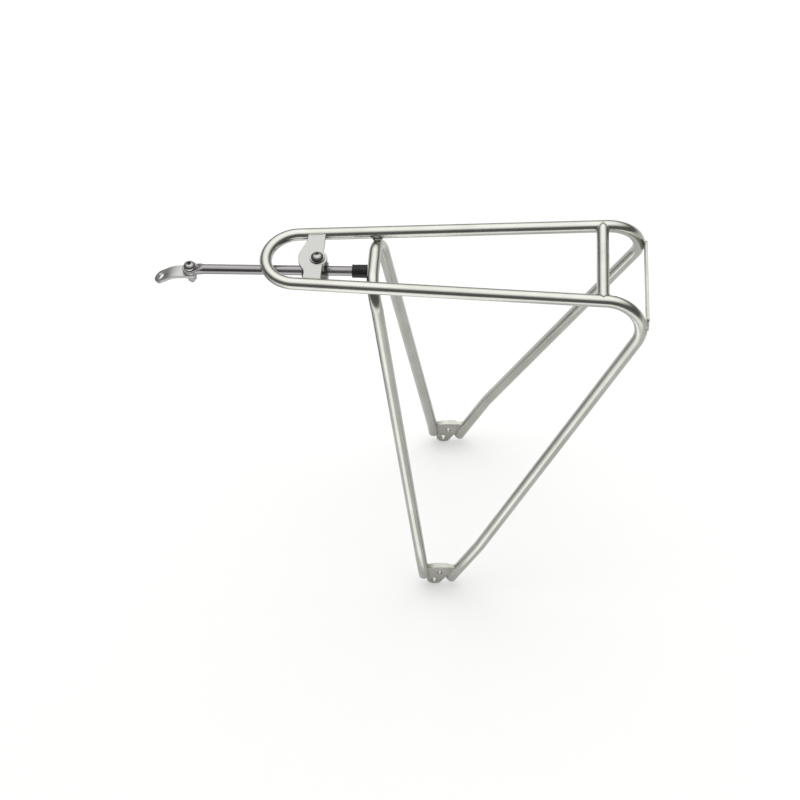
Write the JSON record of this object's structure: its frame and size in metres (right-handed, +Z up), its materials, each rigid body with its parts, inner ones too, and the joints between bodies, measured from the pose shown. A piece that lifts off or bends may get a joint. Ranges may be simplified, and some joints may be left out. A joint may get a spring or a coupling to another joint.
{
  "type": "bicycle rear rack",
  "caption": "Slim tubular rear rack for a bicycle with two welded legs per side, eyelet feet, a rear light plate and an adjustable front stay.",
  "frame": {"origin": "midway between the two lower eyelets, on the line through their holes, where the rack hangs on the bicycle's rear dropouts", "axes": "+Z up, +X towards the bicycle's rear, +Y towards the rider's right"},
  "size_m": [0.3995, 0.173, 0.3655],
  "materials": {
    "brushed_tube": "satin, slightly warm grey",
    "satin_plate": "satin, light grey",
    "bright_steel": "smooth and bright, neutral grey",
    "black_rubber": "soft sheen"
  },
  "bodies": {
    "frame": {"main_tube": "brushed_tube", "front_leg_arch": "brushed_tube", "cross_tube": "brushed_tube", "light_plate": "brushed_tube", "left_foot_plate": "brushed_tube", "right_foot_plate": "brushed_tube", "clamp_plate": "satin_plate", "clamp_barrel": "bright_steel", "clamp_washer": "bright_steel", "clamp_bolt": "bright_steel"},
    "rod_cap": {"rod_end_cap": "black_rubber"},
    "rod": {"stay_rod": "bright_steel", "pivot_bolt": "bright_steel", "pivot_washer": "bright_steel", "pivot_nut": "bright_steel"},
    "strap": {"stay_strap": "satin_plate"}
  },
  "joints": [
    {"name": "stay_slide", "type": "slide", "parent": "frame", "child": "rod_cap", "axis": [-1, 0, 0], "range_m": [0, 0.0192]},
    {"name": "stay_roll", "type": "hinge", "parent": "rod_cap", "child": "rod", "pos_m": [-0.08, 0, 0.3366], "axis": [1, 0, 0], "continuous": true},
    {"name": "strap_swivel", "type": "hinge", "parent": "rod", "child": "strap", "pos_m": [-0.1889, 0, 0.3366], "axis": [0, 0, 1], "range_deg": [-90, 90]}
  ]
}
